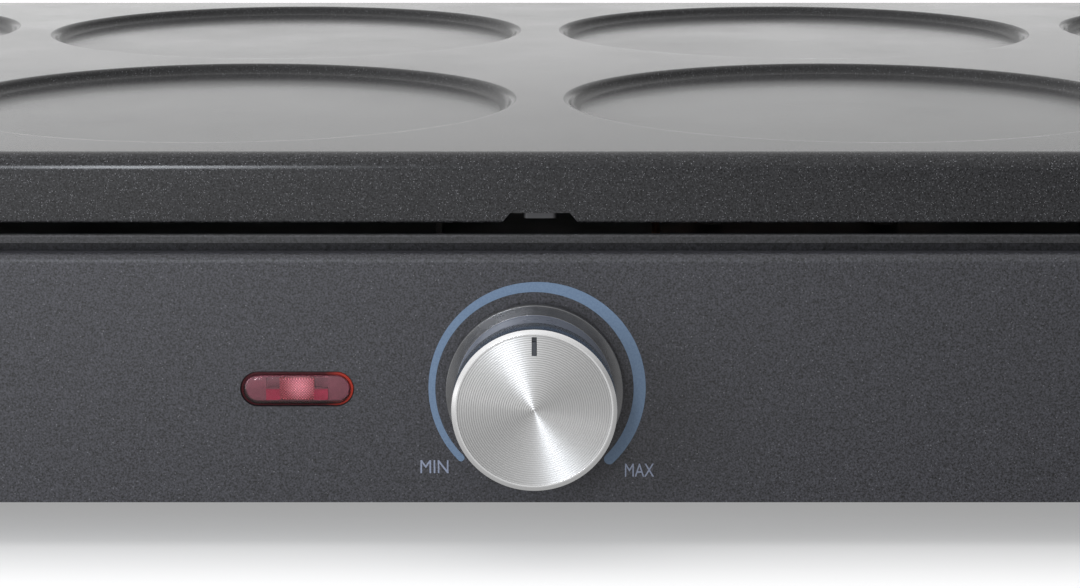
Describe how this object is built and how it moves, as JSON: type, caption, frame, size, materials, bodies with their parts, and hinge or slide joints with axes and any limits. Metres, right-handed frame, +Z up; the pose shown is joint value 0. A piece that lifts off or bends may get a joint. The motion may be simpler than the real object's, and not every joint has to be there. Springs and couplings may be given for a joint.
{
  "type": "electric crepe maker",
  "caption": "Electric crepe maker: flat cast griddle plate with round recesses lifts off a low dark sheet-steel base with one thermostat knob and a pilot lamp in front.",
  "frame": {"origin": "on the surface it stands on, under the middle of the whole part seen from above, knob and cord gland included", "axes": "+X to the right as seen from the front, +Y towards the rear, +Z up; the knob faces -Y"},
  "size_m": [0.603, 0.304, 0.072],
  "materials": {
    "plate_coating": "cast aluminium under a satin dark non-stick coating",
    "tab_steel": "satin",
    "aluminium_trim": "satin",
    "casing_powder": "fine powder texture",
    "frame_powder": "fine powder texture",
    "cover_steel": "matte",
    "zinc_steel": "zinc plated",
    "heat_ceramic": "unglazed ceramic",
    "foot_rubber": "matte",
    "handle_moulding": "fine texture",
    "tray_enamel": "dull heat-resistant enamel",
    "heat_steel": "heat-darkened",
    "element_sheath": "dull oxide",
    "contact_brass": "satin",
    "thermostat_case": "moulded",
    "bulb_copper": "dull copper",
    "knob_moulding": "satin",
    "knob_cap_metal": "fine turned grooves",
    "lens_red": "clear",
    "holder_moulding": "satin",
    "lamp_glass": "clear",
    "gland_moulding": "satin",
    "block_moulding": "satin",
    "wire_brown": "satin",
    "wire_blue": "satin",
    "wire_green": "satin"
  },
  "bodies": {
    "base": {"shell_front": "casing_powder", "shell_rear": "casing_powder", "shell_left": "casing_powder", "shell_right": "casing_powder", "rim_frame": "frame_powder", "bottom_cover": "cover_steel", "pillars": "zinc_steel", "post_caps": "heat_ceramic", "foot_front_left": "foot_rubber", "foot_front_right": "foot_rubber", "foot_rear_left": "foot_rubber", "foot_rear_right": "foot_rubber", "foot_screws": "zinc_steel", "cover_screws": "zinc_steel", "pillar_screws": "zinc_steel", "handle_left": "handle_moulding", "handle_right": "handle_moulding", "handle_screws": "zinc_steel", "reflector_tray": "tray_enamel", "heat_shield": "tray_enamel", "shield_clips": "heat_steel", "heating_element": "element_sheath", "element_supports": "heat_steel", "element_bushes": "heat_ceramic", "element_terminals": "contact_brass", "thermal_fuse": "heat_ceramic", "fuse_clip": "heat_steel", "thermostat_body": "thermostat_case", "thermostat_bush": "contact_brass", "thermostat_nut": "zinc_steel", "thermostat_terminals": "contact_brass", "sensor_bulb": "bulb_copper", "capillary_tube": "bulb_copper", "bulb_clips": "heat_steel", "pilot_lens": "lens_red", "pilot_holder": "holder_moulding", "neon_lamp": "lamp_glass", "cord_gland": "gland_moulding", "gland_nut": "gland_moulding", "terminal_block": "block_moulding", "terminal_screws": "zinc_steel", "earth_stud": "contact_brass", "live_wires": "wire_brown", "neutral_wires": "wire_blue", "earth_wire": "wire_green"},
    "plate": {"griddle_plate": "plate_coating", "plate_tab": "tab_steel", "tab_rivet": "aluminium_trim"},
    "knob": {"knob_body": "knob_moulding", "knob_cap": "knob_cap_metal", "knob_spring": "zinc_steel", "thermostat_shaft": "zinc_steel"}
  },
  "joints": [
    {"name": "plate_lift", "type": "slide", "parent": "base", "child": "plate", "axis": [0, 0, 1], "range_m": [0, 0.12]},
    {"name": "knob_turn", "type": "hinge", "parent": "base", "child": "knob", "pos_m": [-0.001, -0.136, 0.0298], "axis": [0, 1, 0], "range_deg": [-134, 134]}
  ]
}
